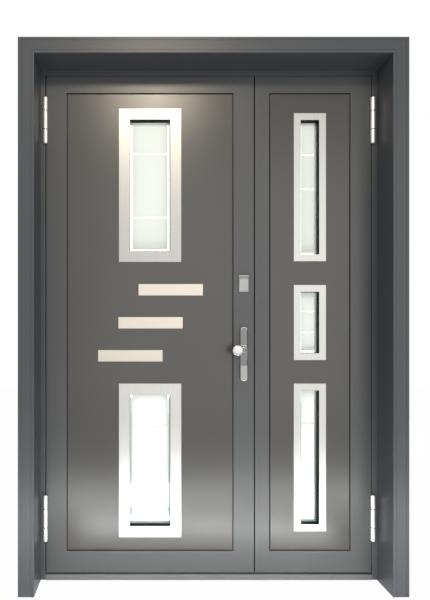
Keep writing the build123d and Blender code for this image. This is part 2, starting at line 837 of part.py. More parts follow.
def offset_knob():
    """A fixed pull knob on a cranked stem that carries it beside the escutcheon."""
    base_y = front_y - escutcheon_thickness
    knob_x = lock_x - knob_offset
    corners = [
        (lock_x, base_y, spindle_z),
        (lock_x, base_y - knob_stem_start, spindle_z),
        (knob_x, base_y - knob_stem_bend, spindle_z),
        (knob_x, base_y - knob_stem_end, spindle_z),
    ]
    stem = mitred_bar(knob_stem_radius, corners)
    foot = rod(knob_stem_radius + knob_foot, (lock_x, base_y - 3.0, spindle_z), (lock_x, base_y, spindle_z))
    foot = chamfer(foot.edges().group_by(Axis.Y)[0], small_edge)
    radius, front, rear = knob_diameter / 2, front_y - knob_proud, base_y - knob_seat
    profile = Plane(origin=(knob_x, 0, spindle_z), x_dir=(1, 0, 0), z_dir=(0, 0, 1))
    collar = knob_stem_radius + 2.0
    neck = Polyline((0, rear), (collar, rear), (collar, rear - 4.0))
    flank = Polyline((collar, rear - 4.0), (radius - 6.0, rear - 9.5), (radius, front + 10.0))
    rim = Polyline((radius, front + 10.0), (radius - 0.8, front + 5.6), (radius - 4.0, front + 2.2))
    crown = Polyline((radius - 4.0, front + 2.2), (radius - 11.0, front + 0.5), (0, front))
    face = profile * make_face(neck + flank + rim + crown + Line((0, front), (0, rear)))
    knob = revolve(face, Axis((knob_x, 0, spindle_z), (0, 1, 0)))
    return one(stem + foot + knob)


def upper_lock_plate():
    """The second lock's plate: a hood strip on top, and lugs that carry the flap's pin."""
    x = (lock_x - upper_plate_width / 2, lock_x + upper_plate_width / 2)
    z = (upper_key_z - upper_plate_height / 2, upper_key_z + upper_plate_height / 2)
    front = front_y - upper_plate_thickness
    plate = block(x, (front, front_y), z)
    plate = fillet(plate.edges().filter_by(Axis.Y), plate_corner)
    plate = chamfer(plate.edges().group_by(Axis.Y)[0], cover_edge)
    hood = block((x[0] + 1.0, x[1] - 1.0), (front - hood_rise, front + 2.0), (flap_axis[1] + 3.6, z[1] - 1.0))
    hood = chamfer(hood.edges().group_by(Axis.Y)[0], cover_edge)
    plate += hood
    for a, b in ((x[0] + 2.0, lock_x - flap_knuckle), (lock_x + flap_knuckle, x[1] - 2.0)):
        lug = rod(flap_barrel, (a, *flap_axis), (b, *flap_axis))
        lug += block((a, b), (flap_axis[0], front + 1.0), (flap_axis[1] - 2.0, flap_axis[1] + 2.0))
        plate += lug
    plate -= rod(flap_pin_radius, (x[0], *flap_axis), (x[1], *flap_axis))
    start, end = (lock_x, front - past, upper_key_z), (lock_x, front_y + past, upper_key_z)
    plate -= rod(upper_keyhole_radius, start, end)
    slot_x = (lock_x - upper_slot_half, lock_x + upper_slot_half)
    slot = block(slot_x, (front - past, front_y + past), (upper_key_z - upper_slot_length, upper_key_z))
    return one(plate - slot)


def upper_lock_cover():
    """The flap over the second keyhole, with a finger notch in its lower edge."""
    half = upper_plate_width / 2 - 2.0
    back = front_y - upper_plate_thickness - 0.4
    flap = block((lock_x - half, lock_x + half), (back - flap_thickness, back), flap_heights)
    flap = fillet(flap.edges().filter_by(Axis.Y).group_by(Axis.Z)[0], plate_corner)
    flap = chamfer(flap.edges().group_by(Axis.Y)[0], cover_edge)
    notch_z = flap_heights[0] - past
    flap -= rod(flap_notch_radius, (lock_x, back - 4.0, notch_z), (lock_x, back + past, notch_z))
    gap = 0.4
    ends = (lock_x - flap_knuckle + gap, lock_x + flap_knuckle - gap)
    flap += rod(flap_barrel, (ends[0], *flap_axis), (ends[1], *flap_axis))
    flap += block(ends, (back - 2.2, back - 0.2), (flap_heights[1] - 2.0, flap_axis[1]))
    return one(flap - rod(flap_pin_radius + fit_clearance / 2, (ends[0], *flap_axis), (ends[1], *flap_axis)))


def strike_keeper():
    """The pivoting keeper of the electric strike, shown released: its arm points out of the latch's way."""
    x, y = keeper_axis
    z = (latch_z - keeper_height / 2, latch_z + keeper_height / 2)
    barrel = rod(keeper_barrel_radius, (x, y, z[0]), (x, y, z[1]))
    arm = block((x - keeper_arm / 2, x + keeper_arm / 2), (y - keeper_reach, y), z)
    arm = fillet(arm.edges().filter_by(Axis.Z).group_by(Axis.Y)[0], keeper_edge)
    return one(barrel + arm - rod(keeper_pin_radius + fit_clearance / 2, (x, y, z[0]), (x, y, z[1])))


def small_pins():
    """The keeper's pin and the flap's pin."""
    x, y = keeper_axis
    z = (latch_z - keeper_height / 2 - keeper_pin_end, latch_z + keeper_height / 2 + keeper_pin_end)
    half = upper_plate_width / 2 - 2.0
    flap_pin = rod(flap_pin_radius, (lock_x - half, *flap_axis), (lock_x + half, *flap_axis))
    return rod(keeper_pin_radius, (x, y, z[0]), (x, y, z[1])), flap_pin


def strike_case():
    """The housing behind the strike plate, open towards the latch, with ears that hold the keeper's pin."""
    x, y = keeper_axis
    tall = keeper_height / 2
    rear = strike_x + faceplate_thickness
    half, end = strike_case_width / 2, tall + strike_case_end
    case = block((rear, rear + strike_case_width), (-half, half), (latch_z - end, latch_z + end))
    mouth_z = (latch_z - tall - 0.5, latch_z + tall + 0.5)
    case -= block((rear, rear + strike_case_room), (-half, strike_case_room), mouth_z)
    z = (latch_z - tall - keeper_pin_end, latch_z + tall + keeper_pin_end)
    case -= rod(keeper_pin_radius + fit_clearance / 2, (x, y, z[0]), (x, y, z[1]))
    return one(case)


def strike_plate():
    """The strike on the narrow leaf's edge: a notch for the latch and keeper, and two bolt holes."""
    half = faceplate_width / 2
    plate = block((strike_x, strike_x + faceplate_thickness), (-half, half), main_face_heights)
    tall = keeper_height / 2 + 1.0
    notch_z = (latch_z - tall, latch_z + tall)
    plate -= block((strike_x, strike_x + faceplate_thickness), (-half, strike_case_room), notch_z)
    return plate - strike_holes(main_bolt_heights)


def strike_holes(heights):
    x = (strike_x - past, strike_x + faceplate_thickness + past)
    cuts = [rod(bolt_radius + strike_hole_gap, (x[0], 0, h), (x[1], 0, h)) for h in heights]
    return cuts[0] + cuts[1]


def upper_strike_plate():
    half = faceplate_width / 2
    plate = block((strike_x, strike_x + faceplate_thickness), (-half, half), upper_face_heights)
    return plate - strike_holes(upper_bolt_heights)


def flush_face_heights():
    """Low and high end of each flush bolt's faceplate: bottom, then top."""
    near, away = flush_face_ends
    return (leaf_bottom + near, leaf_bottom + away), (leaf_top - away, leaf_top - near)


def flush_slide_heights():
    """Middle of each flush bolt's thumb piece when the bolt is drawn in."""
    return leaf_bottom + flush_slide_end, leaf_top - flush_slide_end


def flush_bolt_faces():
    """Faceplates with a slot for the thumb piece, and the guide blocks behind them."""
    half = faceplate_width / 2
    faces = []
    for (low, high), middle in zip(flush_face_heights(), flush_slide_heights()):
        face = block((strike_x, strike_x + faceplate_thickness), (-half, half), (low, high))
        down = middle < leaf_top / 2
        travel = (middle - flush_bolt_throw, middle) if down else (middle, middle + flush_bolt_throw)
        slot = (travel[0] - 13.0, travel[1] + 13.0)
        face -= block((strike_x, strike_x + faceplate_thickness), (-4.5, 4.5), slot)
        rear = strike_x + faceplate_thickness
        near, away = flush_guide
        guide_z = (high - away, high - near) if down else (low + near, low + away)
        guide = block((rear, flush_bolt_x + flush_guide_half), (-flush_guide_half, flush_guide_half), guide_z)
        start, end = (flush_bolt_x, 0, guide_z[0]), (flush_bolt_x, 0, guide_z[1])
        guide -= rod(flush_bolt_radius + fit_clearance, start, end)
        faces.append(face + guide)
    return group(faces)


def flush_bolt(top):
    """A round bolt in the narrow leaf's stile, with a thumb piece that shows in the leaf's edge."""
    middle = flush_slide_heights()[1 if top else 0]
    end = leaf_top - 1.0 if top else leaf_bottom + 1.0
    start = end - flush_bolt_length if top else end + flush_bolt_length
    z = sorted((start, end))
    bolt = rod(flush_bolt_radius, (flush_bolt_x, 0, z[0]), (flush_bolt_x, 0, z[1]))
    bolt = chamfer(bolt.edges().group_by(Axis.Z)[-1 if top else 0], bolt_edge)
    y, tall = (-thumb_half_width, thumb_half_width), thumb_half_height
    thumb = block((strike_x + 0.5, flush_bolt_x), y, (middle - tall, middle + tall))
    for k in thumb_grooves:
        groove_z = (middle + k - thumb_groove_half, middle + k + thumb_groove_half)
        thumb -= block((strike_x, strike_x + 1.5), y, groove_z)
    return one(bolt + thumb)


# Inside furniture
def inside_escutcheon():
    face = upright_stadium(lock_x, inside_plate_centre_z, inside_plate_width, inside_plate_height)
    plate = plate_solid(face, (rear_y, rear_y + escutcheon_thickness))
    plate = chamfer(plate.edges().group_by(Axis.Y)[-1], escutcheon_edge)
    y = (rear_y - 1.0, rear_y + escutcheon_thickness + 1.0)
    plate -= cylinder_profile(y, 0.1)
    return one(plate - rod(lever_radius + 0.3, (lock_x, y[0], spindle_z), (lock_x, y[1], spindle_z)))


def upper_inside_rose():
    y = (rear_y, rear_y + escutcheon_thickness)
    rose = rod(rose_radius, (lock_x, y[0], upper_key_z), (lock_x, y[1], upper_key_z))
    rose = chamfer(rose.edges().group_by(Axis.Y)[-1], escutcheon_edge)
    bore = rod(turn_shaft + fit_clearance, (lock_x, y[0] - 1, upper_key_z), (lock_x, y[1] + 1, upper_key_z))
    return one(rose - bore)


def lever_handle():
    """A lever of mitred round bar: neck through the plate, a straight grip and a short return."""
    y0, y1 = rear_y + 1.0, rear_y + escutcheon_thickness + 28.0
    end_x = lock_x - lever_reach
    return mitred_bar(
        lever_radius,
        [
            (lock_x, y0, spindle_z),
            (lock_x, y1, spindle_z),
            (end_x, y1, spindle_z),
            (end_x, y1 - lever_return, spindle_z),
        ],
    )


def lever_spindle():
    """The square bar that turns the lock's hub, with the hub itself."""
    half = spindle_half
    hub = rod(hub_radius, (lock_x, -hub_half, spindle_z), (lock_x, hub_half, spindle_z))
    z = (spindle_z - half, spindle_z + half)
    return one(hub + block((lock_x - half, lock_x + half), (0.0, rear_y + 1.0), z))


def thumb_turn(z, shaft_end):
    """An oval thumb piece on a short round shaft."""
    face_y = rear_y + escutcheon_thickness + 0.4
    shaft = rod(turn_shaft, (lock_x, shaft_end, z), (lock_x, face_y + 4.0, z))
    collar = rod(turn_collar_radius, (lock_x, face_y, z), (lock_x, face_y + turn_collar, z))
    collar = chamfer(collar.edges().group_by(Axis.Y)[-1], small_edge)
    wing = plate_solid(upright_stadium(lock_x, z, *turn_wing), (face_y + 3.0, face_y + 3.0 + turn_wing_depth))
    wing = chamfer(wing.edges().group_by(Axis.Y)[-1], small_edge)
    return one(shaft + collar + wing)


def build():
    main_panel_x = (-leaf_half + main_border_side, meeting_x - main_border_side)
    narrow_panel_x = (narrow_meeting_x + narrow_border_meeting, leaf_half - narrow_border_hinge)
    main_windows = {
        k: window_opening(main_window_x, main_window_width, v, main_frame_face)
        for k, v in main_window_heights.items()
    }
    narrow_windows = {
        k: window_opening(narrow_window_x, narrow_window_width, v, narrow_frame_face)
        for k, v in narrow_window_heights.items()
    }
    jamb = left_jamb()
    nodes["left_jamb"] = jamb
    nodes["right_jamb"] = mirrored(jamb)
    nodes["head"] = head()
    nodes["threshold"] = threshold()
    nodes["frame_gasket"] = frame_gasket()
    nodes["wall_anchors"] = wall_anchors()
    nodes["bolt_keeps"] = bolt_keeps()
    frame_halves, leaf_halves = hinge_frame_leaves(), hinge_leaf_leaves()
    nodes["left_hinge_frame_leaves"] = group(frame_halves)
    nodes["right_hinge_frame_leaves"] = group([mirrored(h) for h in frame_halves])
    nodes["left_hinge_door_leaves"] = group(leaf_halves)
    nodes["right_hinge_door_leaves"] = group([mirrored(h) for h in leaf_halves])
    nodes["hinge_pins"] = hinge_pins()

    nodes["main_leaf_frame"] = main_leaf_frame()
    nodes["main_outer_panel"] = panel(main_panel_x, main_windows.values())
    nodes["main_inner_panel"] = panel(main_panel_x, main_windows.values(), rear=True)
    nodes["main_core"] = core(main_panel_x, main_windows.values())
    nodes["narrow_leaf_frame"] = narrow_leaf_frame()
    nodes["narrow_outer_panel"] = panel(narrow_panel_x, narrow_windows.values())
    nodes["narrow_inner_panel"] = panel(narrow_panel_x, narrow_windows.values(), rear=True)
    nodes["narrow_core"] = core(narrow_panel_x, narrow_windows.values())
    glazing = (("main", main_windows, main_frame_face), ("narrow", narrow_windows, narrow_frame_face))
    for leaf, windows, face in glazing:
        for level, opening in windows.items():
            nodes[f"{leaf}_{level}_glazing_frame"] = glazing_frame(opening, face)
        inner_frames = [glazing_frame(o, face, rear=True) for o in windows.values()]
        nodes[f"{leaf}_inner_glazing_frames"] = group(inner_frames)
        nodes[f"{leaf}_glass_panes"] = group([glass_unit(o) for o in windows.values()])
        nodes[f"{leaf}_glass_spacers"] = group([spacer(o) for o in windows.values()])
        nodes[f"{leaf}_glazing_seals"] = group([s for o in windows.values() for s in glazing_seal(o)])
    nodes["trim_bars"] = group([trim_bar(centre) for centre in bar_centres])
    nodes["meeting_seal"] = meeting_seal()

    nodes["lock_cases"] = group([main_lock_case(), upper_lock_case()])
    nodes["lock_faceplates"] = group([
        lock_faceplate(main_face_heights, main_bolt_heights, latch=True),
        lock_faceplate(upper_face_heights, upper_bolt_heights),
    ])
    nodes["key_cylinder"] = key_cylinder()
    nodes["outside_escutcheon"] = outside_escutcheon()
    nodes["offset_knob"] = offset_knob()
    nodes["key_cover"] = key_cover()
    nodes["upper_lock_plate"] = upper_lock_plate()
    nodes["upper_lock_cover"] = upper_lock_cover()
    nodes["inside_escutcheon"] = inside_escutcheon()
    nodes["upper_inside_rose"] = upper_inside_rose()
    nodes["lever_handle"] = lever_handle()
    nodes["lever_spindle"] = lever_spindle()
    nodes["latch_bolt"] = latch_bolt()
    nodes["main_thumb_turn"] = thumb_turn(cylinder_z, rear_y + escutcheon_thickness - 10.0)
    nodes["main_deadbolts"] = deadbolts(main_bolt_heights)
    nodes["upper_thumb_turn"] = thumb_turn(upper_key_z, 4.0)
    nodes["upper_deadbolts"] = deadbolts(upper_bolt_heights)

    nodes["strike_plates"] = group([strike_plate(), upper_strike_plate()])
    nodes["strike_case"] = strike_case()
    nodes["strike_keeper"] = strike_keeper()
    keeper_pin, flap_pin = small_pins()
    nodes["keeper_pin"] = one(keeper_pin)
    nodes["flap_pin"] = one(flap_pin)
    nodes["flush_bolt_faces"] = flush_bolt_faces()
    nodes["top_flush_bolt"] = flush_bolt(True)
    nodes["bottom_flush_bolt"] = flush_bolt(False)


build()
os.makedirs("parts", exist_ok=True)
for name, shape in nodes.items():
    export_step(shape, f"parts/{name}.step")
print(len(nodes), "nodes")
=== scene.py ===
import json
import math

import bmesh
import bpy
import numpy as np
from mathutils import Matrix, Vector


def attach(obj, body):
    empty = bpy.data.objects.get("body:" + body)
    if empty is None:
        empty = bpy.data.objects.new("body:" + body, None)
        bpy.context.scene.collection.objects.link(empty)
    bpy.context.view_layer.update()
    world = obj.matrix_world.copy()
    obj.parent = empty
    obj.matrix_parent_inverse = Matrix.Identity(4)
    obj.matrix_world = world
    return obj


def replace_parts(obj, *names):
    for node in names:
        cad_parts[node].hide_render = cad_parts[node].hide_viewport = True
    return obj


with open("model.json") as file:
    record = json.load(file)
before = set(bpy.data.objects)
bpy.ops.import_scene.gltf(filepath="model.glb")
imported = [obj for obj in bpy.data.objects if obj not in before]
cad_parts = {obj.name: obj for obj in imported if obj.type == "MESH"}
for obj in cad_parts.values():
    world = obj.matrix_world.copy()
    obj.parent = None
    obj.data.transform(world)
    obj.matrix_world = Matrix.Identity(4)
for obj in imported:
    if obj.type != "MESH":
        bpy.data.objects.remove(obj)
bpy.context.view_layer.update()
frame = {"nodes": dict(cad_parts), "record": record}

nodes = frame["nodes"]
slotOf = {part["node"]: part["material_slot"] for part in frame["record"]["subparts"]}
print("frame loaded,", len(nodes), "nodes")


# The CAD body that a node belongs to
def bodyOf(node):
    bodies = frame["record"]["behaviour"]["bodies"]
    return next(body for body, members in bodies.items() if node in members)


# Camera
camera = {
    "place": (-0.300, -2.110, 1.087),
    "lens": 28.8,
    "sensor": 36.0,
    "shift": (0.1257, 0.0483),
}


def setCamera(look):
    data = bpy.data.cameras.new("camera")
    data.lens = look["lens"]
    data.sensor_width = look["sensor"]
    data.shift_x, data.shift_y = look["shift"]
    obj = bpy.data.objects.new("camera", data)
    obj.location = look["place"]
    obj.rotation_euler = (math.pi / 2, 0.0, 0.0)  # level, straight at the door
    bpy.context.scene.collection.objects.link(obj)
    bpy.context.scene.camera = obj


setCamera(camera)
bpy.context.scene.view_settings.view_transform = "Standard"
print("camera set")


# Materials
# Screen colour 0-255 to the linear value a shader takes: ((c + 0.055) / 1.055) ^ 2.4
def srgb(r, g, b):
    c = ((np.array([r, g, b]) / 255 + 0.055) / 1.055) ** 2.4
    return (*[float(v) for v in c], 1.0)


def newMaterial(name):
    material = bpy.data.materials.new(name)
    material.use_nodes = True
    return material, material.node_tree, material.node_tree.nodes["Principled BSDF"]


usualLow, usualHigh = 0.3, 0.7  # nearly all noise values lie between these two


# Noise on Object coordinates in metres, scale is cells per metre along x, y and z
def noiseOn(tree, scale, detail=3.0, roughness=0.5):
    coordinates = tree.nodes.new("ShaderNodeTexCoord")
    mapping = tree.nodes.new("ShaderNodeMapping")
    mapping.inputs["Scale"].default_value = scale
    noise = tree.nodes.new("ShaderNodeTexNoise")
    noise.inputs["Scale"].default_value = 1.0
    noise.inputs["Detail"].default_value = detail
    noise.inputs["Roughness"].default_value = roughness
    tree.links.new(coordinates.outputs["Object"], mapping.inputs["Vector"])
    tree.links.new(mapping.outputs["Vector"], noise.inputs["Vector"])
    return noise.outputs["Fac"]


# Linear map of a noise value onto low..high
def spread(tree, value, low, high, fromLow=usualLow, fromHigh=usualHigh):
    node = tree.nodes.new("ShaderNodeMapRange")
    node.inputs["From Min"].default_value = fromLow
    node.inputs["From Max"].default_value = fromHigh
    node.inputs["To Min"].default_value = low
    node.inputs["To Max"].default_value = high
    tree.links.new(value, node.inputs["Value"])
    return node.outputs["Result"]


# Base colour between two tones, by a value from 0 to 1
def twoTone(tree, shader, value, first, second):
    ramp = tree.nodes.new("ShaderNodeValToRGB")
    ramp.color_ramp.elements[0].position = usualLow
    ramp.color_ramp.elements[1].position = usualHigh
    ramp.color_ramp.elements[0].color = first
    ramp.color_ramp.elements[1].color = second
    tree.links.new(value, ramp.inputs["Fac"])
    tree.links.new(ramp.outputs["Color"], shader.inputs["Base Color"])


# Fine relief from a value; depth is (strength, distance in metres)
def bumpOf(tree, shader, value, depth):
    strength, distance = depth
    bump = tree.nodes.new("ShaderNodeBump")
    bump.inputs["Strength"].default_value = strength
    bump.inputs["Distance"].default_value = distance
    tree.links.new(value, bump.inputs["Height"])
    tree.links.new(bump.outputs["Normal"], shader.inputs["Normal"])


paintGrain = {
    "clouds": (2.2, 2.2, 1.4),
    "gloss": (9.0, 9.0, 6.0),
    "detail": 1.0,
    "glossSwing": 0.02,
    "glossFrom": (0.1, 0.9),
    "peelDetail": 2.0,
    "relief": (0.05, 0.0003),
}


# Powder coat: fine orange peel, a cloudy tone and a gloss that varies a little
def powderCoat(name, look):
    material, tree, shader = newMaterial(name)
    cloud = noiseOn(tree, paintGrain["clouds"], paintGrain["detail"])
    twoTone(tree, shader, cloud, look["colour"], look["shade"])
    gloss = noiseOn(tree, paintGrain["gloss"], paintGrain["detail"])
    low, high = look["rough"] - paintGrain["glossSwing"], look["rough"] + paintGrain["glossSwing"]
    tree.links.new(spread(tree, gloss, low, high, *paintGrain["glossFrom"]), shader.inputs["Roughness"])
    peel = noiseOn(tree, (look["peel"],) * 3, paintGrain["peelDetail"])
    bumpOf(tree, shader, peel, paintGrain["relief"])
    shader.inputs["Specular IOR Level"].default_value = look["sheen"]
    return material


metalGrain = {"detail": 4.0, "fineness": 0.6, "glossier": 0.05, "duller": 0.06, "relief": (0.22, 0.0002)}


# Metal brushed along one way: noise stretched along it, in tone, roughness and height
def brushedMetal(name, look):
    material, tree, shader = newMaterial(name)
    shader.inputs["Metallic"].default_value = look.get("metal", 1.0)
    streaks = noiseOn(tree, look["streaks"], metalGrain["detail"], metalGrain["fineness"])
    twoTone(tree, shader, streaks, look["colour"], look["shade"])
    low, high = look["rough"] - metalGrain["glossier"], look["rough"] + metalGrain["duller"]
    tree.links.new(spread(tree, streaks, low, high), shader.inputs["Roughness"])
    bumpOf(tree, shader, streaks, metalGrain["relief"])
    return material


rubberGrain = {
    "tone": (60.0, 60.0, 12.0),
    "gloss": (30.0, 30.0, 30.0),
    "rough": (0.55, 0.75),
    "pores": (900.0, 900.0, 900.0),
    "relief": (0.15, 0.0003),
    "sheen": 0.2,
}


# Black rubber: nearly one tone, dull, with fine pores
def castRubber(name, look):
    material, tree, shader = newMaterial(name)
    twoTone(tree, shader, noiseOn(tree, rubberGrain["tone"]), look["colour"], look["shade"])
    gloss = noiseOn(tree, rubberGrain["gloss"])
    tree.links.new(spread(tree, gloss, *rubberGrain["rough"]), shader.inputs["Roughness"])
    bumpOf(tree, shader, noiseOn(tree, rubberGrain["pores"]), rubberGrain["relief"])
    shader.inputs["Specular IOR Level"].default_value = rubberGrain["sheen"]
    return material


# Zinc: crystals from a cell pattern, each with its own tone and gloss
def zincFlakes(name, look):
    material, tree, shader = newMaterial(name)
    shader.inputs["Metallic"].default_value = 1.0
    coordinates = tree.nodes.new("ShaderNodeTexCoord")
    cells = tree.nodes.new("ShaderNodeTexVoronoi")
    cells.inputs["Scale"].default_value = look["cells"]
    tree.links.new(coordinates.outputs["Object"], cells.inputs["Vector"])
    grey = tree.nodes.new("ShaderNodeRGBToBW")
    tree.links.new(cells.outputs["Color"], grey.inputs["Color"])
    twoTone(tree, shader, grey.outputs["Val"], look["colour"], look["shade"])
    tree.links.new(spread(tree, grey.outputs["Val"], *look["rough"]), shader.inputs["Roughness"])
    return material


glassGrain = {"index": 1.5, "tone": (3.0, 3.0, 3.0), "gloss": (40.0, 40.0, 40.0), "rough": (0.02, 0.05)}


# Clear glass with a trace of green and a faint unevenness of gloss
def clearGlass(name, look):
    material, tree, shader = newMaterial(name)
    shader.inputs["Transmission Weight"].default_value = 1.0
    shader.inputs["IOR"].default_value = glassGrain["index"]
    twoTone(tree, shader, noiseOn(tree, glassGrain["tone"]), look["colour"], look["shade"])
    gloss = noiseOn(tree, glassGrain["gloss"])
    tree.links.new(spread(tree, gloss, *glassGrain["rough"]), shader.inputs["Roughness"])
    return material


frostGrain = {
    "tone": (5.0, 5.0, 2.5),
    "gloss": (800.0, 800.0, 800.0),
    "rough": (0.42, 0.58),
    "grain": (1500.0, 1500.0, 1500.0),
    "relief": (0.08, 0.0002),
}


# Frosted face of the glass: fine grain, a trace of green, a soft gloss
def sandblasted(name, look):
    material, tree, shader = newMaterial(name)
    twoTone(tree, shader, noiseOn(tree, frostGrain["tone"]), look["colour"], look["shade"])
    gloss = noiseOn(tree, frostGrain["gloss"])
    tree.links.new(spread(tree, gloss, *frostGrain["rough"]), shader.inputs["Roughness"])
    bumpOf(tree, shader, noiseOn(tree, frostGrain["grain"]), frostGrain["relief"])
    shader.inputs["Transmission Weight"].default_value = look["through"]
    return material


combGrain = {"cells": 80.0, "rough": 0.85, "relief": (0.5, 0.002)}


# Honeycomb board: a cell pattern about 12 mm wide, brown, dull
def paperComb(name, look):
    material, tree, shader = newMaterial(name)
    coordinates = tree.nodes.new("ShaderNodeTexCoord")
    cells = tree.nodes.new("ShaderNodeTexVoronoi")
    cells.feature = "DISTANCE_TO_EDGE"
    cells.inputs["Scale"].default_value = combGrain["cells"]
    tree.links.new(coordinates.outputs["Object"], cells.inputs["Vector"])
    twoTone(tree, shader, cells.outputs["Distance"], look["shade"], look["colour"])
    shader.inputs["Roughness"].default_value = combGrain["rough"]
    bumpOf(tree, shader, cells.outputs["Distance"], combGrain["relief"])
    return material


finishes = {
    "frame_paint": powderCoat("framePaint", {
        "colour": srgb(61, 64, 68), "shade": srgb(66, 69, 73), "rough": 0.40,
        "peel": 420.0, "sheen": 0.45}),
    "leaf_paint": powderCoat("leafPaint", {
        "colour": srgb(64, 65, 66), "shade": srgb(69, 70, 71), "rough": 0.34,
        "peel": 420.0, "sheen": 0.5}),
    "panel_paint": powderCoat("panelPaint", {
        "colour": srgb(47, 46, 42), "shade": srgb(51, 50, 45), "rough": 0.30,
        "peel": 520.0, "sheen": 0.66}),
    "brushed_stainless": brushedMetal("brushedUpright", {
        "colour": srgb(172, 172, 168), "shade": srgb(186, 185, 181), "rough": 0.38,
        "streaks": (900.0, 900.0, 9.0)}),
    "polished_stainless": brushedMetal("satinStainless", {
        "colour": srgb(168, 168, 165), "shade": srgb(182, 182, 179), "rough": 0.20,
        "streaks": (500.0, 500.0, 30.0)}),
    "hinge_metal": brushedMetal("hingeMetal", {
        "colour": srgb(246, 245, 242), "shade": srgb(253, 252, 250), "rough": 0.42, "metal": 0.55,
        "streaks": (60.0, 60.0, 700.0)}),
    "lock_steel": brushedMetal("lockSteel", {
        "colour": srgb(150, 150, 149), "shade": srgb(172, 172, 170), "rough": 0.36,
        "streaks": (700.0, 700.0, 14.0)}),
    "cylinder_brass": brushedMetal("cylinderNickel", {
        "colour": srgb(176, 168, 146), "shade": srgb(196, 188, 166), "rough": 0.28,
        "streaks": (300.0, 300.0, 300.0)}),
    "frosted_glass": clearGlass("paneGlass", {
        "colour": srgb(226, 235, 230), "shade": srgb(233, 241, 237)}),
    "spacer_metal": brushedMetal("spacerMetal", {
        "colour": srgb(150, 152, 154), "shade": srgb(170, 172, 174), "rough": 0.4,
        "streaks": (20.0, 400.0, 20.0)}),
    "black_seal": castRubber("sealRubber", {"colour": srgb(15, 15, 16), "shade": srgb(23, 23, 24)}),
    "sill_aluminium": brushedMetal("sillMetal", {
        "colour": srgb(106, 107, 108), "shade": srgb(118, 119, 120), "rough": 0.42,
        "streaks": (12.0, 700.0, 700.0)}),
    "honeycomb": paperComb("combBoard", {"colour": srgb(150, 122, 88), "shade": srgb(104, 82, 56)}),
    "galvanised": zincFlakes("zincFlakes", {
        "colour": srgb(150, 154, 158), "shade": srgb(178, 182, 186), "rough": (0.32, 0.5), "cells": 90.0}),
}
barFinish = brushedMetal("brushedLevel", {
    "colour": srgb(178, 172, 160), "shade": srgb(194, 188, 176), "rough": 0.38,
    "streaks": (9.0, 900.0, 900.0)})
frostFinish = sandblasted("frostedFace", {
    "colour": srgb(234, 243, 238), "shade": srgb(239, 246, 242), "through": 0.10})
escutcheonFinish = brushedMetal("escutcheonSatin", {
    "colour": srgb(100, 102, 100), "shade": srgb(112, 114, 112), "rough": 0.32,
    "streaks": (600.0, 600.0, 20.0)})
coverFinish = brushedMetal("coverSatin", {
    "colour": srgb(132, 133, 129), "shade": srgb(144, 145, 141), "rough": 0.32,
    "streaks": (600.0, 600.0, 20.0)})
# Darker copy of the brushed stainless for the wide leaf's upper glazing frame: painted shade that holds
# back the warm lamp's highlight on it
upperFrameShadedCopy = brushedMetal("brushedUpperShadedCopy", {
    "colour": srgb(150, 150, 147), "shade": srgb(164, 163, 160), "rough": 0.38,
    "streaks": (900.0, 900.0, 9.0)})
# Dark copy of the lock steel for the strike plates and faceplates: painted shade, as they lie in the shadow
# of the gap between the leaves
gapShadowSteel = brushedMetal("gapShadowSteel", {
    "colour": srgb(54, 55, 56), "shade": srgb(66, 67, 68), "rough": 0.5,
    "streaks": (700.0, 700.0, 14.0)})
ownFinish = {
    "trim_bars": barFinish, "outside_escutcheon": escutcheonFinish, "key_cover": coverFinish,
    "upper_lock_plate": coverFinish, "upper_lock_cover": coverFinish, "strike_plates": gapShadowSteel,
    "lock_faceplates": gapShadowSteel, "main_upper_glazing_frame": upperFrameShadedCopy,
}

for name, obj in nodes.items():
    finish = ownFinish.get(name, finishes[slotOf[name]])
    if not obj.material_slots:
        obj.data.materials.append(finish)
    for slot in obj.material_slots:
        slot.material = finish
print("finishes on", len(nodes), "nodes")


# Making meshes
meshCare = {"weld": 1e-6, "sliver": 1e-7, "sharp": 35}  # metres, metres, degrees


# points (n, 3) and faces (m, 4) become one closed mesh, doubles merged and normals turned out
def addMesh(name, points, faces, finish, body, smooth=True):
    mesh = bpy.data.meshes.new(name)
    mesh.from_pydata(points.tolist(), [], faces.tolist())
    work = bmesh.new()
    work.from_mesh(mesh)
    bmesh.ops.remove_doubles(work, verts=work.verts, dist=meshCare["weld"])
    bmesh.ops.dissolve_degenerate(work, edges=work.edges, dist=meshCare["sliver"])
    bmesh.ops.recalc_face_normals(work, faces=work.faces)
    work.to_mesh(mesh)
    work.free()
    mesh.polygons.foreach_set("use_smooth", np.full(len(mesh.polygons), smooth))
    mesh.materials.append(finish)
    obj = bpy.data.objects.new(name, mesh)
    bpy.context.scene.collection.objects.link(obj)
    if smooth:
        mesh.set_sharp_from_angle(angle=math.radians(meshCare["sharp"]))
    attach(obj, body)
    return obj


# Quads between neighbours of a rows x columns grid, closed round the columns and rows if asked
def gridFaces(rows, columns, closed, closedRows=False):
    lines = np.arange(rows if closedRows else rows - 1)
    steps = np.arange(columns if closed else columns - 1)
    i, j = np.meshgrid(lines, steps, indexing="ij")
    k, n = (j + 1) % columns, (i + 1) % rows
    quads = [i * columns + j, i * columns + k, n * columns + k, n * columns + j]
    return np.stack(quads, -1).reshape(-1, 4)


# Several (points, faces) as one
def joined(parts):
    shift = np.cumsum([0] + [len(p) for p, f in parts[:-1]])
    points = np.concatenate([p for p, f in parts])
    return points, np.concatenate([f + s for (p, f), s in zip(parts, shift)])


# Profile (radius, height) turned about an axis: centre + h a + r (cos t u + sin t v)
def turned(profile, centre, axis, around):
    a = np.array(axis, float)
    u = np.array((0.0, 0.0, 1.0)) if abs(a[2]) < 0.5 else np.array((1.0, 0.0, 0.0))
    v = np.cross(a, u)
    t = np.linspace(0, 2 * np.pi, around, endpoint=False)
    ring = np.cos(t)[:, None] * u + np.sin(t)[:, None] * v
    points = np.array(centre) + profile[:, 1, None, None] * a + profile[:, 0, None, None] * ring
    return points.reshape(-1, 3), gridFaces(len(profile), around, True)


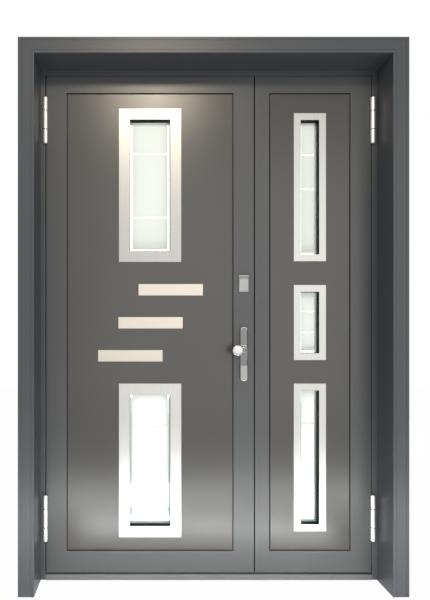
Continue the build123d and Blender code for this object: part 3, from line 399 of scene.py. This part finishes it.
# Catmull-Rom curve through the corners: 0.5 (2b + (c-a)t + (2a-5b+4c-d)t^2 + (3b-a-3c+d)t^3)
def smoothLine(corners, steps):
    p = np.array(corners, float)
    p = np.concatenate([2 * p[:1] - p[1:2], p, 2 * p[-1:] - p[-2:-1]])
    a, b, c, d = p[:-3, None], p[1:-2, None], p[2:-1, None], p[3:, None]
    t = np.linspace(0, 1, steps, endpoint=False)[None, :, None]
    square = (2 * a - 5 * b + 4 * c - d) * t**2
    cube = (3 * b - a - 3 * c + d) * t**3
    line = 0.5 * (2 * b + (c - a) * t + square + cube)
    return np.concatenate([line.reshape(-1, p.shape[1]), p[-2:-1]])


# A circle carried along a path that lies square to side, closed at both ends
def roundBar(path, radius, around, side=(0.0, 0.0, 1.0)):
    tangent = np.gradient(path, axis=0)
    tangent /= np.linalg.norm(tangent, axis=1, keepdims=True)
    u = np.broadcast_to(np.array(side), path.shape)
    v = np.cross(tangent, u)
    t = np.linspace(0, 2 * np.pi, around, endpoint=False)
    circle = np.cos(t)[None, :, None] * u[:, None] + np.sin(t)[None, :, None] * v[:, None]
    start, stop = np.repeat(path[:1, None], around, 1), np.repeat(path[-1:, None], around, 1)
    rings = np.concatenate([start, path[:, None] + radius * circle, stop])
    return rings.reshape(-1, 3), gridFaces(len(rings), around, True)


# Thin cuboids, (k, 2, 3) low and high corners, each as a 4 x 4 closed grid of rings
def slabs(boxes):
    low, high = boxes[:, 0], boxes[:, 1]
    middle = (low + high) / 2
    corner = np.array([[0, 0], [1, 0], [1, 1], [0, 1]])
    x = low[:, None, 0] + corner[None, :, 0] * (high - low)[:, None, 0]
    z = low[:, None, 2] + corner[None, :, 1] * (high - low)[:, None, 2]
    front = np.stack([x, np.repeat(low[:, 1:2], 4, 1), z], -1)
    back = np.stack([x, np.repeat(high[:, 1:2], 4, 1), z], -1)
    tipFront = np.repeat(middle[:, None], 4, 1) * [1, 0, 1] + low[:, None] * [0, 1, 0]
    tipBack = np.repeat(middle[:, None], 4, 1) * [1, 0, 1] + high[:, None] * [0, 1, 0]
    grid = np.stack([tipFront, front, back, tipBack], 1)
    faces = gridFaces(4, 4, True)
    return grid.reshape(-1, 3), np.concatenate([faces + 16 * k for k in range(len(boxes))])


# A closed profile (inset, y) carried round the rectangle x, z: each corner moves in by the inset
def rectangleRing(x, z, profile):
    inset, y = np.array(profile)[:, 0], np.array(profile)[:, 1]
    sides = ((0, 0), (1, 0), (1, 1), (0, 1))
    grid = np.stack([
        np.stack([x[a] + (1 - 2 * a) * inset, y, z[b] + (1 - 2 * b) * inset], -1) for a, b in sides
    ])
    return grid.reshape(-1, 3), gridFaces(4, len(profile), True, True)


# A plate with rounded corners: x = a |cos t|^(2/n), z = b |sin t|^(2/n), shrunk by each step's inset
def raisedPad(centre, half, steps, around, power):
    t = np.linspace(0, 2 * np.pi, around, endpoint=False)
    edgeX = np.sign(np.cos(t)) * abs(np.cos(t)) ** (2 / power)
    edgeZ = np.sign(np.sin(t)) * abs(np.sin(t)) ** (2 / power)
    rows = []
    for inset, y in steps:
        a, b = max(half[0] - inset, 0.0), max(half[1] - inset, 0.0)
        b = 0.0 if a == 0.0 else b
        rows.append(np.stack([centre[0] + a * edgeX, np.full(around, y), centre[1] + b * edgeZ], -1))
    return np.stack(rows).reshape(-1, 3), gridFaces(len(steps), around, True)


# Hinge pins with their rounded ends
hingePin = {
    "axis": (0.706, -0.0397),
    "ends": ((0.175, 0.367), (1.892, 2.084)),
    "capRadius": 0.0084,
    "capHeight": 0.0040,
    "capSteps": 12,
    "capPowers": (0.55, 0.9),
    "shaft": 0.0050,
    "around": 48,
}


# Shaft between two caps, each a superellipse: r = R cos(t)^0.55, h = H sin(t)^0.9
def makeHingePins(look):
    widthPower, heightPower = look["capPowers"]
    t = np.linspace(np.pi / 2, 0, look["capSteps"])
    r = look["capRadius"] * np.cos(t).clip(0) ** widthPower
    h = look["capHeight"] * np.sin(t) ** heightPower
    parts = []
    for side in (-1, 1):
        for low, high in look["ends"]:
            bottom = np.stack([r, low - h], 1)
            top = np.stack([r, high + h], 1)[::-1]
            shaft = np.array([(look["shaft"], low), (look["shaft"], high)])
            place = (side * look["axis"][0], look["axis"][1], 0.0)
            line = np.concatenate([bottom, shaft, top])
            parts.append(turned(line, place, (0, 0, 1), look["around"]))
    points, faces = joined(parts)
    return addMesh("hingePinCaps", points, faces, finishes["hinge_metal"], "frame")


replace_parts(makeHingePins(hingePin), "hinge_pins")
print("hinge pins made")

# Dark washers between the knuckles
hingeWasher = {"radius": 0.0093, "half": 0.0012, "levels": (0.056, 0.136), "around": 48}


# A low drum: corners (0, -h) (r, -h) (r, h) (0, h) turned about the pin
def makeHingeWashers(look):
    r, h = look["radius"], look["half"]
    parts = []
    for side in (-1, 1):
        for low, high in hingePin["ends"]:
            for level in look["levels"]:
                line = np.array([(0.0, -h), (r, -h), (r, h), (0.0, h)]) + [0.0, low + level]
                place = (side * hingePin["axis"][0], hingePin["axis"][1], 0.0)
                parts.append(turned(line, place, (0, 0, 1), look["around"]))
    points, faces = joined(parts)
    return addMesh("hingeWashers", points, faces, finishes["black_seal"], "frame")


makeHingeWashers(hingeWasher)
print("hinge washers made")

# Pull knob on its cranked stem
pullKnob = {
    "foot": (0.150, -0.038, 0.997),
    "footLine": (
        (0.0, 0.0), (0.0120, 0.0), (0.0120, -0.0012), (0.0114, -0.0024), (0.0102, -0.0030), (0.0, -0.0030)),
    "footAround": 56,
    "stemRadius": 0.008,
    "stemLine": (
        (0.150, -0.037), (0.150, -0.043), (0.150, -0.0495), (0.1445, -0.0535),
        (0.131, -0.0575), (0.1185, -0.0615), (0.113, -0.066), (0.113, -0.071)),
    "stemSteps": 6,
    "stemAround": 40,
    "headX": 0.113,
    "headLine": (
        (0.0, -0.070), (0.0092, -0.0701), (0.0100, -0.0712), (0.0104, -0.0742), (0.0150, -0.0778),
        (0.0205, -0.0822), (0.0236, -0.0880), (0.0240, -0.0915), (0.0232, -0.0950), (0.0208, -0.0976),
        (0.0165, -0.0990), (0.0090, -0.0998), (0.0, -0.1000)),
    "headSteps": 5,
    "headAround": 96,
}


# A turned mushroom head, a round bar along the cranked line and a stepped foot, in one mesh
def makePullKnob(look):
    finish, slot = finishes["polished_stainless"], "polished_stainless"
    z = look["foot"][2]
    headLine = smoothLine(look["headLine"], look["headSteps"])
    head = turned(headLine, (look["headX"], 0.0, z), (0, 1, 0), look["headAround"])
    flat = smoothLine(look["stemLine"], look["stemSteps"])
    path = np.stack([flat[:, 0], flat[:, 1], np.full(len(flat), z)], 1)
    stem = roundBar(path, look["stemRadius"], look["stemAround"])
    foot = turned(np.array(look["footLine"]), look["foot"], (0, 1, 0), look["footAround"])
    points, faces = joined([head, stem, foot])
    return addMesh("pullKnob", points, faces, finish, "main_leaf")


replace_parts(makePullKnob(pullKnob), "offset_knob")
print("pull knob made")

# Frosted fields on the panes
frosting = {
    "face": (-0.00415, -0.00395),
    "margin": 0.011,
    "topMargin": 0.003,
    "clearLine": 0.0035,
    "main": [
        {"x": (-0.342, -0.167), "z": (1.425, 1.994), "lines": (1.855, 1.576)},
        {"x": (-0.342, -0.167), "z": (0.233, 0.803), "lines": (0.661,)},
    ],
    "narrow": [
        {"x": (0.3976, 0.4776), "z": (1.410, 1.992), "lines": (1.850, 1.700)},
        {"x": (0.3976, 0.4776), "z": (0.982, 1.248), "lines": (1.164, 1.072)},
        {"x": (0.3976, 0.4776), "z": (0.241, 0.821), "lines": (0.674,)},
    ],
}


# Low and high corners of each frosted field: the pane less its clear margins and lines
def frostedFields(look, windows):
    fields = []
    for window in windows:
        x0, x1 = window["x"][0] + look["margin"], window["x"][1] - look["margin"]
        cuts = sorted(window["lines"])
        lows = [window["z"][0] + look["margin"]] + [c + look["clearLine"] / 2 for c in cuts]
        highs = [c - look["clearLine"] / 2 for c in cuts] + [window["z"][1] - look["topMargin"]]
        fields += [[(x0, look["face"][0], a), (x1, look["face"][1], b)] for a, b in zip(lows, highs)]
    return np.array(fields)


for leaf, body in (("main", "main_leaf"), ("narrow", "narrow_leaf")):
    points, faces = slabs(frostedFields(frosting, frosting[leaf]))
    addMesh(leaf + "FrostedFields", points, faces, frostFinish, body, smooth=False)
print("frosted fields made")

# Black linings of the window openings and a black tape under each panel's edge: partly real rubber, partly
# painted shade that darkens the recess round the glass and the groove round the panel
recessLiningShade = {"thickness": 0.0004, "front": -0.0313, "rear": -0.0062}
panelTapeShade = {"width": 0.005, "face": (-0.0223, -0.0219)}
panelOutlines = {"main": ((-0.614, 0.105), (0.128, 2.107)), "narrow": ((0.264, 0.6115), (0.128, 2.107))}


# Four corners of the lining's section, from the opening's edge inwards
def recessLiningShadeProfile(look):
    t, a, b = look["thickness"], look["front"], look["rear"]
    return [(0.0, a), (t, a), (t, b), (0.0, b)]


# Four corners of the tape's section, from the panel's edge inwards
def tapeShadeProfile(look):
    a, b = look["face"]
    return [(0.0, a), (look["width"], a), (look["width"], b), (0.0, b)]


rubber = finishes["black_seal"]
for leaf, body in (("main", "main_leaf"), ("narrow", "narrow_leaf")):
    section = recessLiningShadeProfile(recessLiningShade)
    points, faces = joined([rectangleRing(w["x"], w["z"], section) for w in frosting[leaf]])
    addMesh(leaf + "WindowLiningShade", points, faces, rubber, body, smooth=False)
    points, faces = rectangleRing(*panelOutlines[leaf], tapeShadeProfile(panelTapeShade))
    addMesh(leaf + "PanelTapeShade", points, faces, rubber, body, smooth=False)
print("linings and tapes made")

# Rubber in the joint between the leaves, a gasket that also paints the joint's shade evenly dark: a tape on
# the narrow leaf's nib, and a lip behind it
jointSealShade = {
    "heights": ((0.034, 1.0195), (1.0605, 2.180)),
    "tape": ((0.1996, 0.2000), (-0.0290, -0.0165)),
    "lip": ((0.1984, 0.2040), (-0.0155, -0.0135)),
}
strips = [
    [(x[0], y[0], low), (x[1], y[1], high)]
    for x, y in (jointSealShade["tape"], jointSealShade["lip"])
    for low, high in jointSealShade["heights"]
]
points, faces = slabs(np.array(strips))
addMesh("jointSealShade", points, faces, rubber, "narrow_leaf", smooth=False)
print("joint seal made")

# Raised middle of the outside plate
middlePad = {
    "centre": (0.150, 0.9805),
    "half": (0.0152, 0.0325),
    "steps": ((0.02, -0.0375), (0.0, -0.0375), (0.0, -0.0391), (0.0006, -0.0397), (0.02, -0.0397)),
    "around": 64,
    "power": 7.0,
}
points, faces = raisedPad(**middlePad)
addMesh("escutcheonMiddle", points, faces, escutcheonFinish, "main_leaf")
print("raised middle made")

# Fine bright beads on the outside plate and on the key cover: painted highlights for the glint on the
# plate's rounded top end, the bright line across the plate above its raised middle, and the glint on the
# cover's rounded lower end
highlightBeads = {
    "thick": 0.0009,
    "x": 0.150,
    "plate": {"y": -0.0382, "z": 1.082, "radius": 0.0122, "line": (0.0115, 1.0148)},
    "cover": {"y": -0.0413, "z": 0.876, "radius": 0.0118},
    "gap": 0.15,  # radians left open at each end of an arc
    "steps": 33,
    "lineSteps": 4,
    "around": 16,
}


# Half a circle of painted highlight in the plane of the leaf: x = c + r cos t, z = h + r sin t
def highlightArc(look, place, first, last):
    t = np.linspace(first, last, look["steps"])
    x = look["x"] + place["radius"] * np.cos(t)
    path = np.stack([x, np.full_like(t, place["y"]), place["z"] + place["radius"] * np.sin(t)], 1)
    return roundBar(path, look["thick"], look["around"], (0.0, 1.0, 0.0))


# A straight bead of painted highlight across the plate: x from c - h to c + h
def highlightLine(look, place):
    half, z = place["line"]
    x = np.linspace(look["x"] - half, look["x"] + half, look["lineSteps"])
    path = np.stack([x, np.full_like(x, place["y"]), np.full_like(x, z)], 1)
    return roundBar(path, look["thick"], look["around"], (0.0, 1.0, 0.0))


paintedHighlightMetal = finishes["hinge_metal"]
upperHighlightArc = highlightArc(highlightBeads, highlightBeads["plate"], highlightBeads["gap"], np.pi - highlightBeads["gap"])
points, faces = joined([upperHighlightArc, highlightLine(highlightBeads, highlightBeads["plate"])])
addMesh("plateHighlightBeads", points, faces, paintedHighlightMetal, "main_leaf")
points, faces = highlightArc(highlightBeads, highlightBeads["cover"], -np.pi + highlightBeads["gap"], -highlightBeads["gap"])
addMesh("keyCoverHighlightBead", points, faces, paintedHighlightMetal, bodyOf("key_cover"))
print("beads made")

# Screw heads
screws = {
    "around": 32,
    "rings": 14,
    "height": 0.0009,
    "sunk": 0.0012,
    "sunkShare": 0.6,
    "turn": 0.3,
    "recessDepth": 0.0011,
    "recessReach": 0.55,
    "recessHalf": 0.14,
}


# Raised heads: height H (1 - s^2)^0.5 over s = r / R, less D (1 - s) in a cross where |u| or |v| < w,
# closed below by a smaller ring sunk into the plate
def screwHeads(look, places, axis, radius):
    a = np.array(axis, float)
    u = np.array((0.0, 0.0, 1.0))
    v = np.cross(a, u)
    s = np.linspace(0, 1, look["rings"])[:, None]
    t = np.linspace(0, 2 * np.pi, look["around"], endpoint=False)[None, :]
    cu, cv = s * np.cos(t + look["turn"]), s * np.sin(t + look["turn"])
    inCross = (np.minimum(abs(cu), abs(cv)) < look["recessHalf"]) & (s < look["recessReach"])
    h = look["height"] * np.sqrt((1 - s**2).clip(0)) * np.ones_like(t)
    h = np.where(inCross, h - look["recessDepth"] * (1 - s), h)
    flat = radius * (np.cos(t) * s)[..., None] * u + radius * (np.sin(t) * s)[..., None] * v
    face = flat + h[..., None] * a
    under = look["sunkShare"] * flat[-1:] - look["sunk"] * a
    tip = np.broadcast_to(-look["sunk"] * a, (1, look["around"], 3))
    one = np.concatenate([face, under, tip]).reshape(-1, 3)
    faces = gridFaces(look["rings"] + 2, look["around"], True)
    return joined([(one + np.array(p), faces) for p in places])


edgeHeights = (0.863, 1.072, 1.230, 1.338)
plateHeights = (0.852, 1.064)
screwSets = {
    "mainEdgeScrews": ("main_leaf", (1, 0, 0), 0.0034, (0.190, 0.0), edgeHeights),
    "insidePlateScrews": ("main_leaf", (0, 1, 0), 0.0040, (0.150, 0.038), plateHeights),
    "strikeScrews": ("narrow_leaf", (-1, 0, 0), 0.0034, (0.204, 0.0), edgeHeights),
}
for name, (body, axis, radius, spot, heights) in screwSets.items():
    points, faces = screwHeads(screws, [(*spot, z) for z in heights], axis, radius)
    addMesh(name, points, faces, finishes["lock_steel"], body)

hingeScrews = {
    "centres": (0.271, 1.988),
    "heights": (-0.075, -0.027, 0.027, 0.075),
    "depths": (-0.018, -0.002),
    "radius": 0.0032,
}
for name, body, face, sign in (
    ("leftJambHingeScrews", "frame", -0.708, 1),
    ("leftLeafHingeScrews", "main_leaf", -0.704, -1),
    ("rightJambHingeScrews", "frame", 0.708, -1),
    ("rightLeafHingeScrews", "narrow_leaf", 0.704, 1),
):
    places = [
        (face, hingeScrews["depths"][k % 2], centre + dz)
        for centre in hingeScrews["centres"]
        for k, dz in enumerate(hingeScrews["heights"])
    ]
    points, faces = screwHeads(screws, places, (sign, 0, 0), hingeScrews["radius"])
    addMesh(name, points, faces, finishes["lock_steel"], body)
print("screws made")


# Stage and light
# The plain shader lights the object, and camera, mirror and glass rays see clean white
def whiteForCamera(tree):
    path = tree.nodes.new("ShaderNodeLightPath")
    first = tree.nodes.new("ShaderNodeMath")
    first.operation = "MAXIMUM"
    second = tree.nodes.new("ShaderNodeMath")
    second.operation = "MAXIMUM"
    tree.links.new(path.outputs["Is Camera Ray"], first.inputs[0])
    tree.links.new(path.outputs["Is Glossy Ray"], first.inputs[1])
    tree.links.new(first.outputs[0], second.inputs[0])
    tree.links.new(path.outputs["Is Transmission Ray"], second.inputs[1])
    return second.outputs[0]


studio = {
    "worldGrey": 0.50,
    "floorSize": 7.0,
    "floorDrop": 0.0002,
    "floorLines": 9,
    "floorGrey": 0.94,
    "floorRough": 0.8,
    "floorGlow": 0.97,
    "lamps": {
        "front": {
            "place": (0.9, -3.6, 1.4), "aim": (0.0, 0.0, 1.0), "size": (4.2, 3.2), "power": 50.0},
        "low": {
            "place": (0.02, -0.85, 0.07), "aim": (0.06, 0.0, 0.22), "size": (2.8, 0.14), "power": 9.0},
        "sill": {
            "place": (0.04, -0.46, 0.05), "aim": (0.02, 0.0, 0.14), "size": (1.3, 0.08), "power": 3.4},
        "warm": {
            "place": (-0.18, -2.1, 3.12), "aim": (-0.24, -0.03, 2.10), "size": (0.50, 0.30), "power": 21.0,
            "tint": (1.0, 0.86, 0.66)},
        "back": {
            "place": (0.6, 3.4, 1.8), "aim": (0.0, 0.0, 1.1), "size": (4.2, 3.2), "power": 60.0},
    },
}


def setWorld(look):
    world = bpy.data.worlds.new("studio")
    bpy.context.scene.world = world
    world.use_nodes = True
    tree = world.node_tree
    grey = tree.nodes["Background"]
    grey.inputs["Color"].default_value = (1.0, 1.0, 1.0, 1.0)
    grey.inputs["Strength"].default_value = look["worldGrey"]
    white = tree.nodes.new("ShaderNodeBackground")
    white.inputs["Strength"].default_value = 1.0
    white.inputs["Color"].default_value = (1.0, 1.0, 1.0, 1.0)
    mix = tree.nodes.new("ShaderNodeMixShader")
    tree.links.new(whiteForCamera(tree), mix.inputs[0])
    tree.links.new(grey.outputs[0], mix.inputs[1])
    tree.links.new(white.outputs[0], mix.inputs[2])
    tree.links.new(mix.outputs[0], tree.nodes["World Output"].inputs[0])


# A flat square grid under the door: near white, and brighter still for camera rays
def makeFloor(look):
    material, tree, shader = newMaterial("floorPale")
    shader.inputs["Base Color"].default_value = (*(look["floorGrey"],) * 3, 1.0)
    shader.inputs["Roughness"].default_value = look["floorRough"]
    glow = tree.nodes.new("ShaderNodeEmission")
    glow.inputs["Strength"].default_value = 1.0
    mix = tree.nodes.new("ShaderNodeMixShader")
    share = spread(tree, whiteForCamera(tree), 0.0, look["floorGlow"], 0.0, 1.0)
    tree.links.new(share, mix.inputs[0])
    tree.links.new(shader.outputs[0], mix.inputs[1])
    tree.links.new(glow.outputs[0], mix.inputs[2])
    tree.links.new(mix.outputs[0], tree.nodes["Material Output"].inputs[0])
    lines = look["floorLines"]
    side = np.linspace(-look["floorSize"], look["floorSize"], lines)
    x, y = np.meshgrid(side, side, indexing="ij")
    points = np.stack([x, y, np.full_like(x, -look["floorDrop"])], -1).reshape(-1, 3)
    mesh = bpy.data.meshes.new("floor")
    mesh.from_pydata(points.tolist(), [], gridFaces(lines, lines, False).tolist())
    mesh.materials.append(material)
    obj = bpy.data.objects.new("floor", mesh)
    bpy.context.scene.collection.objects.link(obj)


# A rectangular lamp that lights the door and isn't seen itself
def softLight(name, look):
    data = bpy.data.lights.new(name, "AREA")
    data.shape = "RECTANGLE"
    data.size, data.size_y = look["size"]
    data.energy = look["power"]
    data.color = look.get("tint", (1.0, 1.0, 1.0))
    obj = bpy.data.objects.new(name, data)
    obj.location = look["place"]
    way = Vector(look["aim"]) - Vector(look["place"])
    obj.rotation_euler = way.to_track_quat("-Z", "Y").to_euler()
    obj.visible_camera = False
    bpy.context.scene.collection.objects.link(obj)


setWorld(studio)
makeFloor(studio)
for name, lamp in studio["lamps"].items():
    softLight(name + "Light", lamp)
print("stage and light set")
